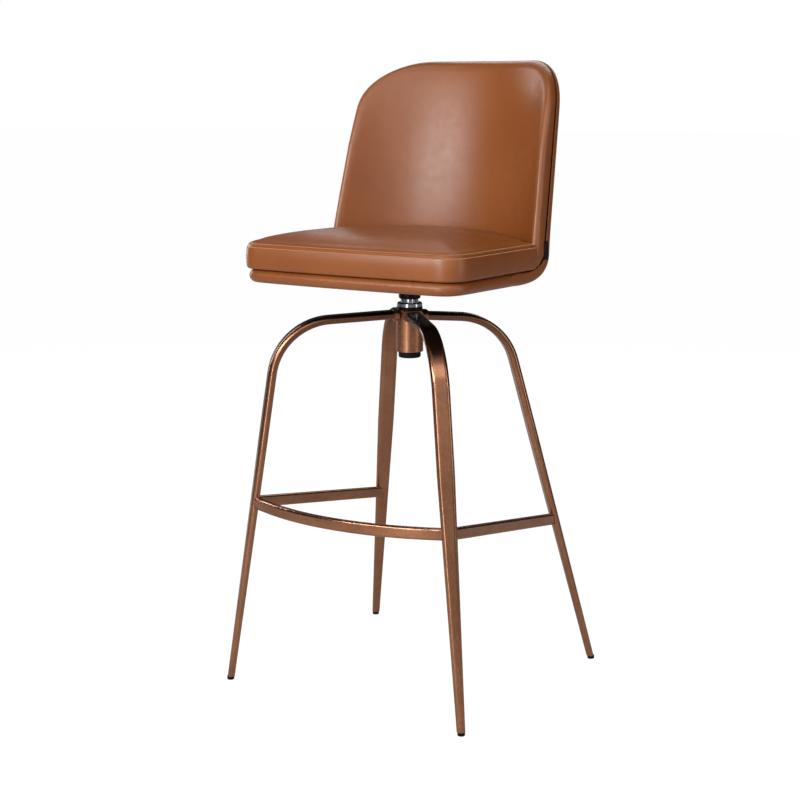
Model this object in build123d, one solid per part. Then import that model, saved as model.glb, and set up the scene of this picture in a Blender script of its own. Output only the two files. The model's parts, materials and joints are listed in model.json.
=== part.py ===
from build123d import *
import os
from math import asin, degrees, hypot, sqrt

# A swivelling bar stool. Everything is worked out about the swivel axis, with z = 0 on the
# floor, the sitter facing -Y and the sitter's left hand at +X. AXIS_Y then places the swivel
# axis so that the origin lies under the middle of the whole stool.
AXIS_Y = -14.6

# Floor frame
FRONT_FOOT = (242.0, 213.0)      # distance of a front foot from the axis, across and forward
REAR_FOOT = (242.0, 242.0)       # distance of a rear foot from the axis, across and backward
FRONT_KNEE = 162.0               # where arm and leg centre lines would cross, across and along
REAR_KNEE = 118.0
KNEE_Z = 640.0
ARM_SLOPE = 0.055                # the arms fall gently outward
KNEE_RADIUS = 107.0
ARM_START = 21.0                 # inner end of an arm, from the swivel axis
LEG_WIDTH = 30.0
LEG_DEPTH = 14.5
LEG_END_WIDTH = 14.0
LEG_END_DEPTH = 12.5
LEG_WALL = 1.8
TAPER_START_Z = 420.0            # below this height a leg narrows to its foot
WELD_GAP = 0.05                  # between parts that are welded or pressed together

# Foot glides
GLIDE_HEIGHT = 6.0
GLIDE_RADIUS = 6.4
GLIDE_EDGE = 1.5
GLIDE_STEM = 18.0
GLIDE_STEM_GAP = 0.25

# Footrest, a flat bar on edge
BAR_HEIGHT = 20.0
BAR_DEPTH = 12.0
BAR_CORNER = 3.5
BAR_FRONT_Z = 326.0
BAR_REAR_Z = 270.0
BAR_BOW = 50.0

# Swivel hub
BARREL_RADIUS = 23.75
BARREL_BOTTOM = 586.0
BARREL_TOP = 659.0
BARREL_BORE = 15.0
SOCKET_REACH = 30.0
SOCKET_WIDTH = 37.0
SOCKET_HEIGHT = 21.0
SPINDLE_RADIUS = 10.0
SPINDLE_TOP = 700.0
SPINDLE_BOTTOM = 580.0
RUNNING_GAP = 0.05
BUSH_LENGTH = 20.0
LOWER_BUSH_LIFT = 5.0
CAP_RADIUS = 19.5
CAP_BOTTOM = 575.0
CAP_FLOOR = 2.5
CAP_BORE = 14.2
CAP_EDGE = 3.0
CAP_LIP = 4.0
WASHER_RADIUS = 13.5
WASHER_BOTTOM = 583.8
WASHER_TOP = 585.6
CLIP_BOTTOM = 582.0
CLIP_TOP = 583.6
CLIP_OUTER = 12.0
CLIP_GROOVE = 8.8
CLIP_SLOT = 4.0

# Thrust bearing on top of the barrel
RACE_RADIUS = 22.5
RACE_CLEARANCE = 1.0             # between the race's bore and the spindle
RACE_TOP = 664.4
BALL_RADIUS = 1.7
BALL_PITCH = 17.3
BALL_COUNT = 18
BALL_Z = 665.1
BALL_PLAY = 0.1
CAGE_INNER = 14.6
CAGE_OUTER = 20.2
CAGE_BOTTOM = 664.6
CAGE_TOP = 665.8
FLANGE_RADIUS = 22.0
FLANGE_BOTTOM = 664.7
FLANGE_TOP = 672.0
RECESS_INNER = 13.8
RECESS_OUTER = 20.9
NECK_TOP = 678.0
NECK_RADIUS = 11.5
RIB_REACH = 15.0
RIB_WIDTH = 2.4
RIB_ROOT = 0.5                   # how far a rib starts inside the neck
RIB_COUNT = 12
BOSS_RADIUS = 19.0
BOSS_TOP = 706.0
BOSS_CHAMFER = 2.0

# Seat pan and what carries it
PAN_BOTTOM = 712.0
PAN_TOP = 734.5
PAN_EDGE = 10.5
PLATE_SIZE = 170.0
PLATE_CORNER = 18.0
COVER_THICKNESS = 1.5
BOARD_THICKNESS = 12.0
EDGE_PADDING = 16.0
PLATE_SCREW_OFFSET = 68.0
SCREW_RADIUS = 2.9
SCREW_HEAD_RADIUS = 5.5
SCREW_HEAD_HEIGHT = 3.2
SCREW_HOLE = 3.3
NUT_RADIUS = 4.4
NUT_FLANGE_RADIUS = 9.0
NUT_FLANGE = 1.2

# Plan of the seat pan
SEAT_FRONT = 206.0               # forward reach of the pan, from the axis
FRONT_BOW = 7.0                  # of which the front edge's bow
FRONT_HALF = 211.0
SIDE_HALF = 217.0
SIDE_BOW_Y = 20.0               # forward of here the sides curve gently inward
SEAT_CORNER = 38.0

# Seat cushion
CUSHION_OVERHANG = 2.5
CUSHION_BOTTOM = 734.9
CUSHION_TOP = 795.0
CUSHION_TOP_EDGE = 18.0
CUSHION_EDGE = 5.0
CLEAR = 0.4                      # between the cushion and the back

# Backrest: layers between arcs about one axis, upright at first and then leaning back
BACK_AXIS_Y = -40.5
BACK_OUTER = 262.0
BACK_INNER = 226.0
PANEL_INNER = 253.0
BACK_BOARD_INNER = 245.0
LEAN_START_Z = 770.0
LEAN = 0.16
BACK_TOP_Z = 1086.5
BACK_TAPER = 0.061
BACK_CORNER = 92.0
BACK_SIDE_Y = 104.5              # front of the padded side edges, from the arcs' axis
SIDE_EDGE_LEAN = 0.24            # the side edges lean back more than the middle
BACK_BEND = 44.0                 # radius of the bend from pan to back
BEND_MARGIN = 2.0                # between the boards and where the bend starts
BACK_BOARD_BOTTOM = 737.0
BACK_BOARD_INSET = 15.0
BACK_EDGE = 4.0

# Steel angle brackets that hold the back board to the seat board
BRACKET_INNER = 242.0
BRACKET_X = (76.0, 104.0)
BRACKET_THICKNESS = 3.0
BRACKET_TOP = 880.0
BRACKET_FRONT_Y = 90.0
BRACKET_SCREW_Y = (100.0, 138.0)
BRACKET_SCREW_Z = (749.0, 764.0)
WOOD_SCREW_RADIUS = 2.0
WOOD_SCREW_HEAD = 4.0
WOOD_SCREW_HEAD_HEIGHT = 2.0
WOOD_SCREW_LENGTH = 8.0

# Sewn-in side tag, left blank
TAG_THICKNESS = 0.9
TAG_WIDTH = 11.0
TAG_HEIGHT = 31.0
TAG_Y = 99.0
TAG_Z = 765.0

# Where a solid stands in relation to its position
UP = (Align.CENTER, Align.CENTER, Align.MIN)
DOWN = (Align.CENTER, Align.CENTER, Align.MAX)
OUTWARD = (Align.MIN, Align.CENTER, Align.MIN)

COVER_BOTTOM = PAN_BOTTOM
BOARD_BOTTOM = COVER_BOTTOM + COVER_THICKNESS
BOARD_TOP = BOARD_BOTTOM + BOARD_THICKNESS
FAR = 600.0


def write(name, shape):
    export_step(Pos(0, AXIS_Y, 0) * shape, f"parts/{name}.step")


def post(radius, bottom, top, x=0.0, y=0.0):
    """An upright round bar."""
    return Pos(x, y, bottom) * Cylinder(radius, top - bottom, align=UP)


def ring(inner, outer, bottom, top):
    """A round ring about the swivel axis."""
    return post(outer, bottom, top) - post(inner, bottom, top)


def around(count, shape):
    """Copies of a shape spaced evenly about the swivel axis."""
    return [Rot(0, 0, 360.0 * turn / count) * shape for turn in range(count)]


# ---------------------------------------------------------------- legs

CORNERS = {
    "front_left": (1, -1, FRONT_FOOT, FRONT_KNEE),
    "front_right": (-1, -1, FRONT_FOOT, FRONT_KNEE),
    "rear_left": (1, 1, REAR_FOOT, REAR_KNEE),
    "rear_right": (-1, 1, REAR_FOOT, REAR_KNEE),
}


def leg_points(corner):
    """Inner end of the arm, the corner of the centre line, and the foot on the floor."""
    side, end, foot, knee = CORNERS[corner]
    knee_reach = knee * sqrt(2)
    start = ARM_START / sqrt(2)
    start_z = KNEE_Z + ARM_SLOPE * (knee_reach - ARM_START)
    return (
        Vector(side * start, end * start, start_z),
        Vector(side * knee, end * knee, KNEE_Z),
        Vector(side * foot[0], end * foot[1], 0),
    )


def leg_at(corner, z):
    """Point of a leg's straight centre line at height z."""
    start, knee, foot = leg_points(corner)
    return foot + (knee - foot) * (z / KNEE_Z)


def leg_solid(corner, grow):
    """A leg's outer shape, grown or shrunk on every side, with its lower end at glide height."""
    start, knee, foot = leg_points(corner)
    taper = leg_at(corner, TAPER_START_Z)
    below = leg_at(corner, -GLIDE_HEIGHT)
    down = (foot - knee).normalized()
    out = (knee - start).normalized()
    across = out.cross(down).normalized()
    with BuildLine() as path:
        FilletPolyline(start, knee, taper, radius=KNEE_RADIUS)
    wide = SlotOverall(LEG_WIDTH + 2 * grow, LEG_DEPTH + 2 * grow)
    narrow = SlotOverall(LEG_END_WIDTH + 2 * grow, LEG_END_DEPTH + 2 * grow)
    arm = sweep(Plane(start, x_dir=across, z_dir=out) * wide, path.line)
    shank = loft(
        [
            Plane(taper, x_dir=across, z_dir=down) * wide,
            Plane(below, x_dir=across, z_dir=down) * narrow,
        ],
        ruled=True,
    )
    floor = Pos(0, 0, GLIDE_HEIGHT) * Box(2 * FAR, 2 * FAR, FAR, align=DOWN)
    return arm + shank - floor


def make_glide(corner):
    """A moulded foot: a round pad on the floor and a stem up inside the leg."""
    start, knee, foot = leg_points(corner)
    pad = post(GLIDE_RADIUS, 0, GLIDE_HEIGHT, foot.X, foot.Y)
    pad = fillet(pad.edges().filter_by(GeomType.CIRCLE).sort_by(Axis.Z)[0], GLIDE_EDGE)
    up = (knee - foot).normalized()
    across = (knee - start).cross(foot - knee).normalized()
    shrink = 2 * (LEG_WALL + GLIDE_STEM_GAP)
    low = leg_at(corner, 0)
    section = SlotOverall(LEG_END_WIDTH - shrink, LEG_END_DEPTH - shrink)
    stem = extrude(Plane(low, x_dir=across, z_dir=up) * section, GLIDE_HEIGHT + GLIDE_STEM)
    below = Pos(0, 0, GLIDE_HEIGHT / 2) * Box(2 * FAR, 2 * FAR, FAR, align=DOWN)
    return pad + (stem - below)


# ---------------------------------------------------------------- footrest

def bar_section(origin, direction):
    """The bar's rounded section, standing on edge across the given direction."""
    sideways = direction.cross(Vector(0, 0, 1)).normalized()
    section = RectangleRounded(BAR_DEPTH, BAR_HEIGHT, BAR_CORNER)
    return Plane(origin, x_dir=sideways, z_dir=direction) * section


def make_side_bar(side, cutters):
    """A straight bar that falls towards the rear leg."""
    front = leg_at(f"front_{side}", BAR_FRONT_Z)
    rear = leg_at(f"rear_{side}", BAR_REAR_Z)
    run = rear - front
    bar = extrude(bar_section(front, run.normalized()), run.length)
    for cutter in cutters:
        bar -= cutter
    return max(bar.solids(), key=lambda solid: solid.volume)


def make_front_bar(cutters):
    """A bar bowed forward between the front legs."""
    left = leg_at("front_left", BAR_FRONT_Z)
    right = leg_at("front_right", BAR_FRONT_Z)
    middle = Vector(0, left.Y - BAR_BOW, BAR_FRONT_Z)
    with BuildLine() as path:
        ThreePointArc(left, middle, right)
    bar = sweep(bar_section(path.line @ 0, path.line % 0), path.line)
    for cutter in cutters:
        bar -= cutter
    return max(bar.solids(), key=lambda solid: solid.volume)


# ---------------------------------------------------------------- swivel hub

def make_barrel():
    """Turned hub with an oval socket for each arm."""
    barrel = post(BARREL_RADIUS, BARREL_BOTTOM, BARREL_TOP)
    pockets = []
    for corner in CORNERS:
        start, knee, foot = leg_points(corner)
        out = (knee - start).normalized()
        across = out.cross(foot - knee).normalized()
        socket = SlotOverall(SOCKET_WIDTH, SOCKET_HEIGHT)
        pocket = SlotOverall(LEG_WIDTH + 2 * WELD_GAP, LEG_DEPTH + 2 * WELD_GAP)
        barrel += extrude(Plane(start, x_dir=across, z_dir=out) * socket, SOCKET_REACH - ARM_START)
        pockets.append(extrude(Plane(start, x_dir=across, z_dir=out) * pocket, SOCKET_REACH))
    for pocket in pockets:
        barrel -= pocket
    barrel -= post(BARREL_BORE, BARREL_BOTTOM, BARREL_TOP)
    above = Pos(0, 0, BARREL_TOP) * Box(FAR, FAR, FAR, align=UP)
    return barrel - above


def make_bottom_cap():
    """Plastic cap under the barrel, cupped to clear the end of the spindle."""
    cap = post(CAP_RADIUS, CAP_BOTTOM, BARREL_BOTTOM - WELD_GAP)
    cap = fillet(cap.edges().filter_by(GeomType.CIRCLE).sort_by(Axis.Z)[0], CAP_EDGE)
    cap += post(BARREL_BORE - WELD_GAP, BARREL_BOTTOM - 1, BARREL_BOTTOM + CAP_LIP)
    return cap - post(CAP_BORE, CAP_BOTTOM + CAP_FLOOR, BARREL_BOTTOM + CAP_LIP)


def make_bush(bottom):
    return ring(SPINDLE_RADIUS + RUNNING_GAP, BARREL_BORE - WELD_GAP, bottom, bottom + BUSH_LENGTH)


def ball_groove():
    """The ring-shaped track that the balls roll in."""
    section = Pos(BALL_PITCH, 0, BALL_Z) * (Plane.XZ * Circle(BALL_RADIUS + BALL_PLAY))
    return revolve(section, Axis.Z)


def make_lower_race():
    race = ring(SPINDLE_RADIUS + RACE_CLEARANCE, RACE_RADIUS, BARREL_TOP + WELD_GAP, RACE_TOP)
    return race - ball_groove()


def make_balls():
    return Compound(around(BALL_COUNT, Pos(BALL_PITCH, 0, BALL_Z) * Sphere(BALL_RADIUS)))


def make_cage():
    cage = ring(CAGE_INNER, CAGE_OUTER, CAGE_BOTTOM, CAGE_TOP)
    for hole in around(BALL_COUNT, post(BALL_RADIUS + BALL_PLAY, CAGE_BOTTOM, CAGE_TOP, BALL_PITCH)):
        cage -= hole
    return cage


def make_flange():
    """Bright flange that rides on the balls and turns with the seat."""
    flange = ring(SPINDLE_RADIUS + WELD_GAP, FLANGE_RADIUS, FLANGE_BOTTOM, FLANGE_TOP)
    ceiling = BALL_Z + BALL_RADIUS + RUNNING_GAP
    flange -= ring(RECESS_INNER, RECESS_OUTER, FLANGE_BOTTOM, ceiling)
    top = flange.edges().filter_by(GeomType.CIRCLE).group_by(Axis.Z)[-1].sort_by(SortBy.RADIUS)[-1]
    return chamfer(top, BOSS_CHAMFER)


def make_neck():
    """Short ribbed collar between the flange and the boss."""
    neck = ring(SPINDLE_RADIUS + WELD_GAP, NECK_RADIUS, FLANGE_TOP + WELD_GAP, NECK_TOP)
    height = NECK_TOP - FLANGE_TOP - WELD_GAP
    root = NECK_RADIUS - RIB_ROOT
    rib = Pos(root, 0, FLANGE_TOP + WELD_GAP) * Box(RIB_REACH - root, RIB_WIDTH, height, align=OUTWARD)
    for copy in around(RIB_COUNT, rib):
        neck += copy
    return neck


def make_spindle():
    spindle = post(SPINDLE_RADIUS, SPINDLE_BOTTOM, SPINDLE_TOP)
    return spindle - ring(CLIP_GROOVE, SPINDLE_RADIUS + 1, CLIP_BOTTOM - WELD_GAP, CLIP_TOP + WELD_GAP)


def make_clip():
    """Retaining clip, open on one side."""
    clip = ring(CLIP_GROOVE + WELD_GAP, CLIP_OUTER, CLIP_BOTTOM, CLIP_TOP)
    slot = Pos(0, 0, CLIP_BOTTOM) * Box(FAR, CLIP_SLOT, FAR, align=OUTWARD)
    return clip - slot


def make_boss():
    boss = post(BOSS_RADIUS, NECK_TOP + WELD_GAP, BOSS_TOP)
    boss = chamfer(boss.edges().filter_by(GeomType.CIRCLE).sort_by(Axis.Z)[0], BOSS_CHAMFER)
    return boss - post(SPINDLE_RADIUS + WELD_GAP, NECK_TOP, SPINDLE_TOP + WELD_GAP)


# ---------------------------------------------------------------- seat plate and its screws

SCREW_SPOTS = [
    (x * PLATE_SCREW_OFFSET, y * PLATE_SCREW_OFFSET) for x in (-1, 1) for y in (-1, 1)
]


def drill(shape, radius, bottom, top):
    for x, y in SCREW_SPOTS:
        shape -= post(radius, bottom, top, x, y)
    return shape


def make_plate():
    outline = RectangleRounded(PLATE_SIZE, PLATE_SIZE, PLATE_CORNER)
    plate = extrude(Pos(0, 0, BOSS_TOP + WELD_GAP) * outline, PAN_BOTTOM - BOSS_TOP - 2 * WELD_GAP)
    return drill(plate, SCREW_HOLE, BOSS_TOP, PAN_BOTTOM)


def make_plate_screws():
    screws = []
    for x, y in SCREW_SPOTS:
        head = post(SCREW_HEAD_RADIUS, BOSS_TOP - SCREW_HEAD_HEIGHT, BOSS_TOP, x, y)
        head = fillet(head.edges().filter_by(GeomType.CIRCLE).sort_by(Axis.Z)[0], SCREW_HEAD_HEIGHT / 2)
        screws.append(head + post(SCREW_RADIUS, BOSS_TOP - 1, BOARD_TOP - 1, x, y))
    return Compound(screws)


def make_tee_nuts():
    nuts = []
    for x, y in SCREW_SPOTS:
        nut = post(NUT_RADIUS, BOARD_BOTTOM + 2, BOARD_TOP, x, y)
        nut += post(NUT_FLANGE_RADIUS, BOARD_TOP, BOARD_TOP + NUT_FLANGE, x, y)
        nuts.append(nut - post(SCREW_RADIUS + WELD_GAP, BOARD_BOTTOM, BOARD_TOP + NUT_FLANGE, x, y))
    return Compound(nuts)


# ---------------------------------------------------------------- seat and back

def seat_plan(inset=0.0):
    """Outline of the pan, drawn in by an inset: bowed front, gently bowed sides, round back."""
    front = -SEAT_FRONT + inset
    front_corner = (FRONT_HALF - inset, front + FRONT_BOW)
    half = SIDE_HALF - inset
    radius = BACK_OUTER - inset
    rear_corner = (half, BACK_AXIS_Y + sqrt(radius ** 2 - half ** 2))
    with BuildSketch() as sketch:
        with BuildLine():
            ThreePointArc((-front_corner[0], front_corner[1]), (0, front), front_corner)
            TangentArc((half, SIDE_BOW_Y), front_corner, tangent=(0, -1))
            Line((half, SIDE_BOW_Y), rear_corner)
            ThreePointArc(rear_corner, (0, BACK_AXIS_Y + radius), (-half, rear_corner[1]))
            Line((-half, rear_corner[1]), (-half, SIDE_BOW_Y))
            TangentArc((-half, SIDE_BOW_Y), (-front_corner[0], front_corner[1]), tangent=(0, -1))
        make_face()
        fillet(sketch.vertices().group_by(Axis.Y)[0], SEAT_CORNER - inset)
    return sketch.sketch


def back_plan(inner, outer):
    """Plan of one layer of the back, behind the front of its side edges."""
    layer = Circle(outer) - Circle(inner)
    behind = Pos(0, BACK_SIDE_Y) * Rectangle(2 * FAR, FAR, align=(Align.CENTER, Align.MIN))
    return Pos(0, BACK_AXIS_Y) * (layer & behind)


def back_layer(inner, outer, bottom, top):
    """One layer of the back: upright to LEAN_START_Z, then leaning back."""
    plan = back_plan(inner, outer)
    slant = (top - LEAN_START_Z) * hypot(1, LEAN)
    upper = extrude(Pos(0, 0, LEAN_START_Z) * plan, slant, dir=(0, LEAN, 1))
    if bottom >= LEAN_START_Z:
        return upper
    return upper + extrude(Pos(0, 0, bottom) * plan, LEAN_START_Z - bottom)


def back_outline(inset):
    """Front view of the back, drawn through front to rear: tapered, with round top corners."""
    top = BACK_TOP_Z - inset
    top_half = SIDE_HALF - BACK_TAPER * (top - LEAN_START_Z) - inset
    half = SIDE_HALF - inset
    corners = [(-half, PAN_BOTTOM), (half, PAN_BOTTOM), (half, LEAN_START_Z)]
    corners += [(top_half, top), (-top_half, top), (-half, LEAN_START_Z)]
    with BuildSketch(Plane.XZ) as sketch:
        Polygon(*corners, align=None)
        fillet(sketch.vertices().group_by(Axis.Y)[-1], BACK_CORNER - inset)
    return extrude(sketch.sketch, FAR, both=True)


def side_edge_cut():
    """Everything behind the sloping front of the back's side edges."""
    low = LEAN_START_Z
    high = BACK_TOP_Z + BACK_EDGE
    far = FAR
    front_low = BACK_AXIS_Y + BACK_SIDE_Y
    front_high = front_low + SIDE_EDGE_LEAN * (high - low)
    outline = Polygon((front_low, low), (far, low), (far, high), (front_high, high), align=None)
    return extrude(Plane.YZ * outline, FAR, both=True)


def edges_at(shape, z):
    """Edges of a shape that lie level at height z."""
    level = []
    for edge in shape.edges():
        box = edge.bounding_box()
        if abs(box.min.Z - z) < 0.01 and abs(box.max.Z - z) < 0.01:
            level.append(edge)
    return level


def make_shell():
    """Outside shape of pan and back together, with the bend between them."""
    pan = extrude(Pos(0, 0, PAN_BOTTOM) * seat_plan(), PAN_TOP - PAN_BOTTOM)
    wall_plan = seat_plan() & back_plan(BACK_INNER, BACK_OUTER)
    wall = extrude(Pos(0, 0, PAN_TOP) * wall_plan, LEAN_START_Z - PAN_TOP)
    slant = (BACK_TOP_Z - LEAN_START_Z) * hypot(1, LEAN)
    back = extrude(Pos(0, 0, LEAN_START_Z) * back_plan(BACK_INNER, BACK_OUTER), slant, dir=(0, LEAN, 1))
    shell = pan + wall + (back & back_outline(0) & side_edge_cut())
    rear = max(edges_at(shell, PAN_BOTTOM), key=lambda edge: edge.bounding_box().max.Y)
    shell = fillet(rear, BACK_BEND)
    back_front = BACK_AXIS_Y + BACK_SIDE_Y
    upper = [edge for edge in edges_at(shell, PAN_TOP) if edge.bounding_box().min.Y < back_front - 1]
    return fillet(upper, PAN_EDGE)


def make_bracket(side):
    """Steel angle: a foot on the seat board and an upright bent to the back board's curve."""
    near, far = BRACKET_X
    middle = (near + far) / 2
    backward = (Align.CENTER, Align.MIN, Align.MIN)
    strip = Pos(middle, 0, BOARD_TOP) * Box(far - near, FAR, FAR, align=backward)
    upright = back_layer(BRACKET_INNER, BACK_BOARD_INNER, BOARD_TOP, BRACKET_TOP) & strip
    sole = Box(far - near, FAR, BRACKET_THICKNESS, align=backward)
    reach = post(BACK_BOARD_INNER, BOARD_TOP, BRACKET_TOP, 0, BACK_AXIS_Y)
    bracket = upright + (Pos(middle, BRACKET_FRONT_Y, BOARD_TOP) * sole & reach)
    for screw in bracket_screws(WOOD_SCREW_RADIUS + WELD_GAP, 0):
        bracket -= screw
    return bracket if side > 0 else mirror(bracket, Plane.YZ)


def bracket_screws(shank, head):
    """Wood screws of the +X bracket: two down into the seat board, two back into the back board."""
    middle = (BRACKET_X[0] + BRACKET_X[1]) / 2
    turn = degrees(asin(middle / BRACKET_INNER))
    screws = []
    places = [Pos(middle, y, BOARD_TOP + BRACKET_THICKNESS) for y in BRACKET_SCREW_Y]
    for z in BRACKET_SCREW_Z:
        on_arc = Pos(0, BACK_AXIS_Y, z) * Rot(0, 0, -turn) * Pos(0, BRACKET_INNER - WELD_GAP, 0)
        places.append(on_arc * Rot(90, 0, 0))
    for place in places:
        screw = Cylinder(shank, WOOD_SCREW_LENGTH, align=DOWN)
        if head:
            screw += Cylinder(head, WOOD_SCREW_HEAD_HEIGHT, align=UP)
        screws.append(place * screw)
    return screws


def make_bracket_screws():
    right = bracket_screws(WOOD_SCREW_RADIUS, WOOD_SCREW_HEAD)
    left = [mirror(screw, Plane.YZ) for screw in right]
    return Compound(right + left)


def board_plan():
    """Outline of seat board and dust cover: inside the padded edge and clear of the bend."""
    clear_of_bend = Circle(BACK_OUTER - BACK_BEND - BEND_MARGIN)
    ahead = Rectangle(2 * FAR, FAR, align=(Align.CENTER, Align.MAX))
    return seat_plan(EDGE_PADDING) & (Pos(0, BACK_AXIS_Y) * (clear_of_bend + ahead))


def make_boards(screw_holes):
    """Plywood seat board and curved back board."""
    seat_board = extrude(Pos(0, 0, BOARD_BOTTOM) * board_plan(), BOARD_THICKNESS)
    seat_board = drill(seat_board, NUT_RADIUS + WELD_GAP, BOARD_BOTTOM, BOARD_TOP)
    back_board = back_layer(BACK_BOARD_INNER, PANEL_INNER, BACK_BOARD_BOTTOM, BACK_TOP_Z)
    back_board &= back_outline(BACK_BOARD_INSET)
    for hole in screw_holes:
        seat_board -= hole
        back_board -= hole
    return seat_board, back_board


def make_dust_cover():
    cover = extrude(Pos(0, 0, COVER_BOTTOM) * board_plan(), COVER_THICKNESS)
    return drill(cover, SCREW_HOLE, COVER_BOTTOM, BOARD_BOTTOM)


def make_cushion():
    """Seat cushion: overhangs the pan a little and fits the curve of the back."""
    plan = seat_plan(-CUSHION_OVERHANG)
    rear = BACK_AXIS_Y + BACK_SIDE_Y - CLEAR
    round_rear = Pos(0, BACK_AXIS_Y) * Circle(BACK_INNER - CLEAR)
    front = Pos(0, rear) * Rectangle(2 * FAR, 2 * FAR, align=(Align.CENTER, Align.MAX))
    cushion = extrude(Pos(0, 0, CUSHION_BOTTOM) * (plan & (round_rear + front)), CUSHION_TOP - CUSHION_BOTTOM)
    for z, radius in ((CUSHION_TOP, CUSHION_TOP_EDGE), (CUSHION_BOTTOM, CUSHION_EDGE)):
        open_edges = [edge for edge in edges_at(cushion, z) if edge.bounding_box().max.Y < rear - CLEAR]
        cushion = fillet(open_edges, radius)
    return cushion


def make_tag():
    return Pos(SIDE_HALF + CLEAR, TAG_Y, TAG_Z) * Box(
        TAG_THICKNESS, TAG_WIDTH, TAG_HEIGHT, align=(Align.MIN, Align.MAX, Align.CENTER)
    )


# ---------------------------------------------------------------- all parts

def write_base():
    cutters = [leg_solid(corner, WELD_GAP) for corner in CORNERS]
    for corner in CORNERS:
        write(f"leg_{corner}", leg_solid(corner, 0) - leg_solid(corner, -LEG_WALL))
        write(f"foot_glide_{corner}", make_glide(corner))
    front_bar = make_front_bar(cutters)
    write("footrest_front", front_bar)
    for side in ("left", "right"):
        write(f"footrest_{side}", make_side_bar(side, cutters + [front_bar]))
    write("hub_barrel", make_barrel())
    write("hub_bottom_cap", make_bottom_cap())
    write("lower_bush", make_bush(BARREL_BOTTOM + LOWER_BUSH_LIFT))
    write("upper_bush", make_bush(BARREL_TOP - BUSH_LENGTH))
    write("lower_race", make_lower_race())
    write("bearing_balls", make_balls())
    write("ball_cage", make_cage())


def write_seat():
    write("swivel_spindle", make_spindle())
    write("spindle_washer", ring(SPINDLE_RADIUS + WELD_GAP, WASHER_RADIUS, WASHER_BOTTOM, WASHER_TOP))
    write("retaining_clip", make_clip())
    write("swivel_flange", make_flange())
    write("ribbed_neck", make_neck())
    write("seat_boss", make_boss())
    write("seat_plate", make_plate())
    write("plate_screws", make_plate_screws())
    write("tee_nuts", make_tee_nuts())

    right_holes = bracket_screws(WOOD_SCREW_RADIUS + WELD_GAP, WOOD_SCREW_HEAD + WELD_GAP)
    holes = right_holes + [mirror(hole, Plane.YZ) for hole in right_holes]
    seat_board, back_board = make_boards(holes)
    brackets = {"left": make_bracket(1), "right": make_bracket(-1)}
    write("seat_board", seat_board)
    write("back_board", back_board)
    write("dust_cover", make_dust_cover())
    for side, bracket in brackets.items():
        write(f"back_bracket_{side}", bracket)
    write("bracket_screws", make_bracket_screws())

    shell = make_shell()
    slab = Pos(0, 0, PAN_BOTTOM) * Box(2 * FAR, 2 * FAR, PAN_TOP - PAN_BOTTOM, align=UP)
    pocket = extrude(Pos(0, 0, PAN_BOTTOM) * board_plan(), BOARD_TOP - PAN_BOTTOM)
    pan = (shell & slab) - pocket
    pan = drill(pan, NUT_FLANGE_RADIUS + WELD_GAP, BOARD_TOP, BOARD_TOP + NUT_FLANGE)
    panel = shell & back_layer(PANEL_INNER, BACK_OUTER + BACK_EDGE, PAN_TOP, BACK_TOP_Z + BACK_EDGE)
    pad = shell & back_layer(BACK_INNER - BACK_EDGE, PANEL_INNER, PAN_TOP, BACK_TOP_Z + BACK_EDGE)
    pad -= back_board
    for filler in [*brackets.values(), *holes]:
        pan -= filler
        pad -= filler
    write("pan_upholstery", pan)
    write("back_front_pad", pad)
    write("back_outer_panel", panel)
    write("seat_cushion", make_cushion())
    write("side_tag", make_tag())


if __name__ == "__main__":
    os.makedirs("parts", exist_ok=True)
    write_base()
    write_seat()
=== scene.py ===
import bpy
import bmesh
import json
import math
import random
import numpy as np
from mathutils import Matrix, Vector
from mathutils.bvhtree import BVHTree

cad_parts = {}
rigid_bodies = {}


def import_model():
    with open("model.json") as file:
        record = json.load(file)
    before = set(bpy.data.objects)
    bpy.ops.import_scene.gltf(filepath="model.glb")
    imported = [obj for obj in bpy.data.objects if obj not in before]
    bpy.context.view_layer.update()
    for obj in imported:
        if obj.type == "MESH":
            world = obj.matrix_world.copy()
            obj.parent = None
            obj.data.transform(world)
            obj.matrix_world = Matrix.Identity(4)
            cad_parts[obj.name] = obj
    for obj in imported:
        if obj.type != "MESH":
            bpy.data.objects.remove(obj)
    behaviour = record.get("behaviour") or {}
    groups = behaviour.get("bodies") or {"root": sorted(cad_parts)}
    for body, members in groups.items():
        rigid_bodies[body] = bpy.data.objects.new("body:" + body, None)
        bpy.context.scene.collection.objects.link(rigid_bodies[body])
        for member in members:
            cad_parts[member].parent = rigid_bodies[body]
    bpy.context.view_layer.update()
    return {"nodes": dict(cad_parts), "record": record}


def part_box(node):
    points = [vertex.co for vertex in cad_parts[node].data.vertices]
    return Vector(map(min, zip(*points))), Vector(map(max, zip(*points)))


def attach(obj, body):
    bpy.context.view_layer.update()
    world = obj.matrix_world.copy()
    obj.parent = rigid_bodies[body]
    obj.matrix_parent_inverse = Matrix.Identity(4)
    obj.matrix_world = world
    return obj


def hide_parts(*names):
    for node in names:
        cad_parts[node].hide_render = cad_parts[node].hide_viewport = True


for old in list(bpy.data.objects):
    bpy.data.objects.remove(old)

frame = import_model()
NODES = frame["nodes"]
RNG = random.Random(11)
MM = 0.001
AXIS = Vector(frame["record"]["behaviour"]["joints"][0]["pos_m"])
AXIS_Y = AXIS.y
FRONT_WAY = (0.50, -0.75, 0.43)        # from the stool towards the bright side of the room


# ------------------------------------------------------------------ camera, light, floor

def aim(obj, target):
    obj.rotation_mode = "QUATERNION"
    obj.rotation_quaternion = (Vector(target) - obj.location).to_track_quat("-Z", "Y")


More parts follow.
